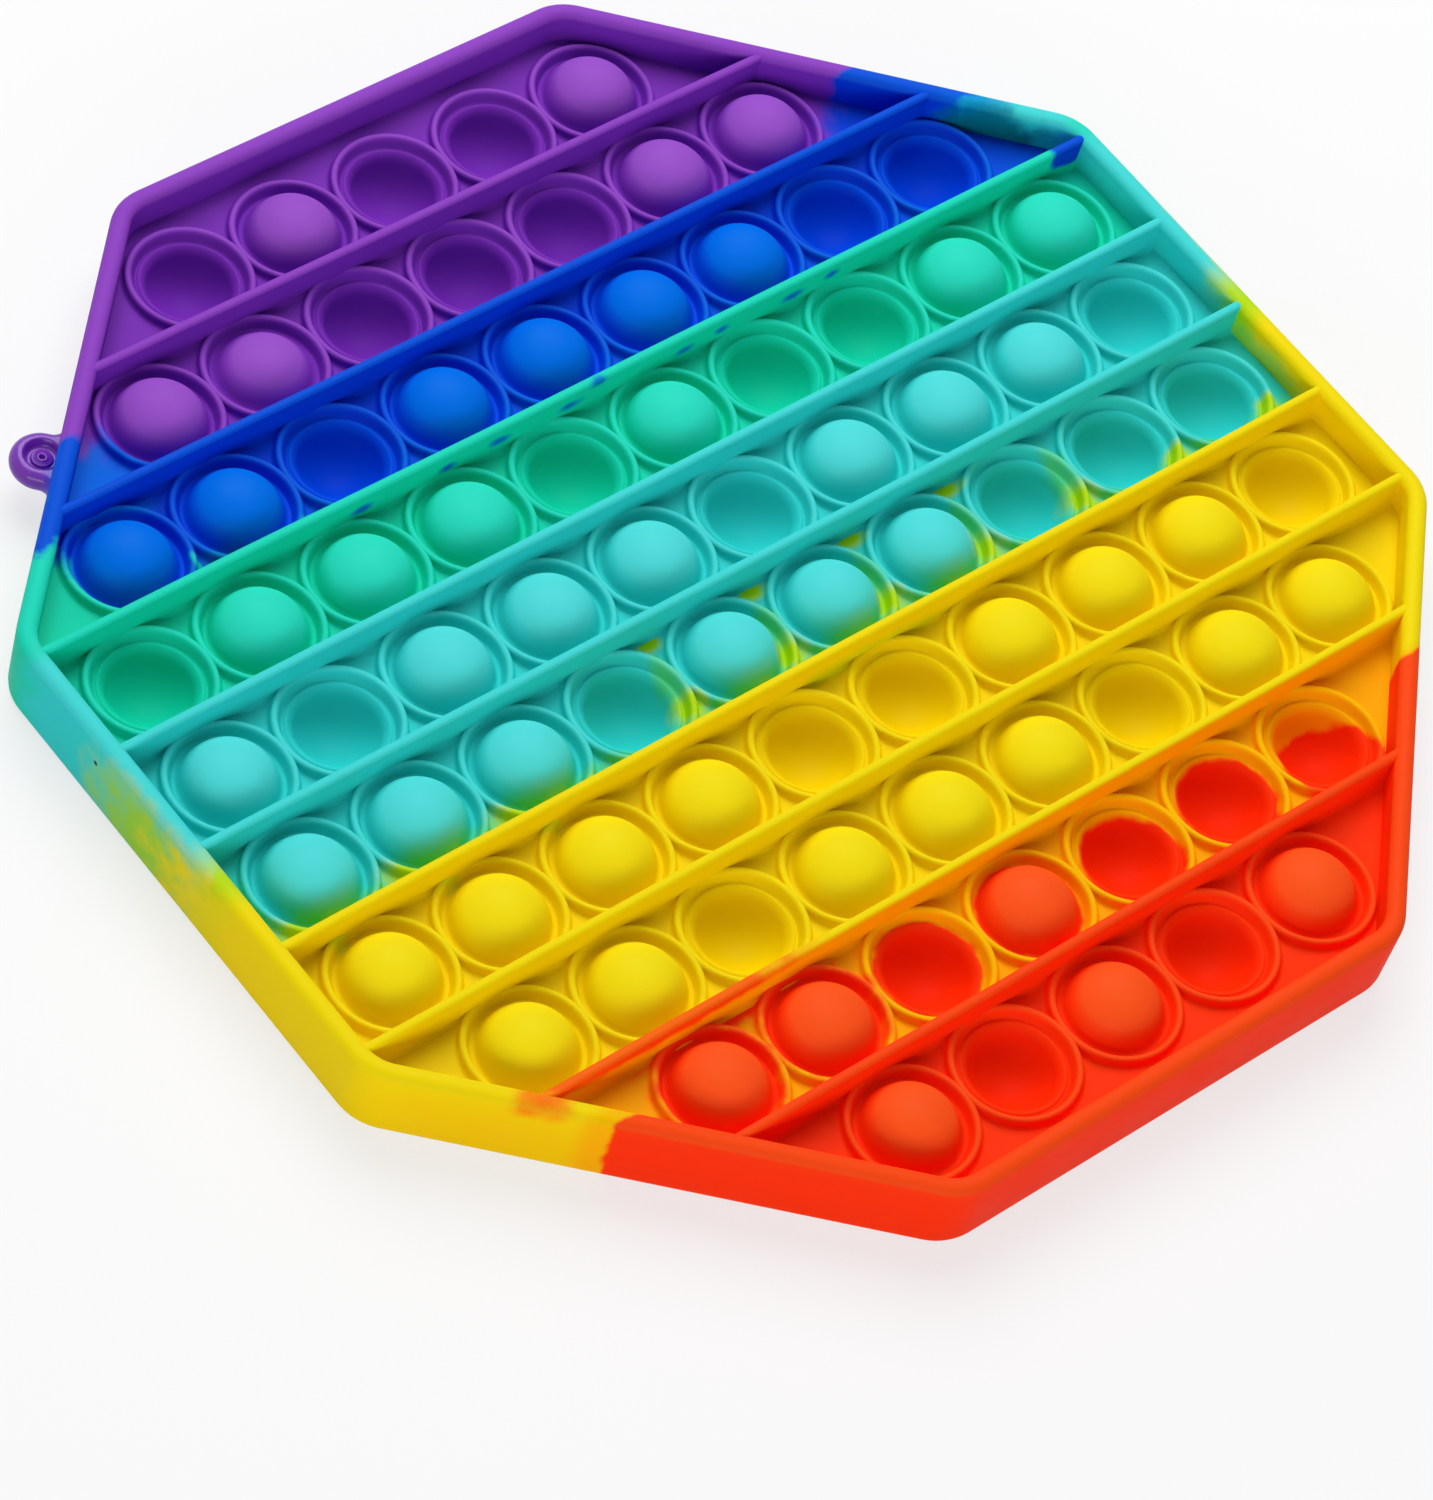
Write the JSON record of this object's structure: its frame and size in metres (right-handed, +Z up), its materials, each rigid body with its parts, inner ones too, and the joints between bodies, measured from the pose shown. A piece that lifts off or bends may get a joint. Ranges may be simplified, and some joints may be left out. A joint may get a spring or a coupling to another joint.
{
  "type": "bubble pop fidget toy",
  "caption": "Eight-sided silicone mat of press-through domes in divided rows, inside a raised rim with a small hanging ear.",
  "frame": {"origin": "middle of the octagon at the flat foot of its rim, on the surface that the mat lies on", "axes": "+Z up through the mat, +X along the rows to the right, +Y from the last row to the first, so the ear is at -X +Y"},
  "size_m": [0.2, 0.2, 0.0136],
  "materials": {
    "silicone": "satin"
  },
  "bodies": {
    "root": {"bubble_mat": "silicone"}
  },
  "joints": []
}
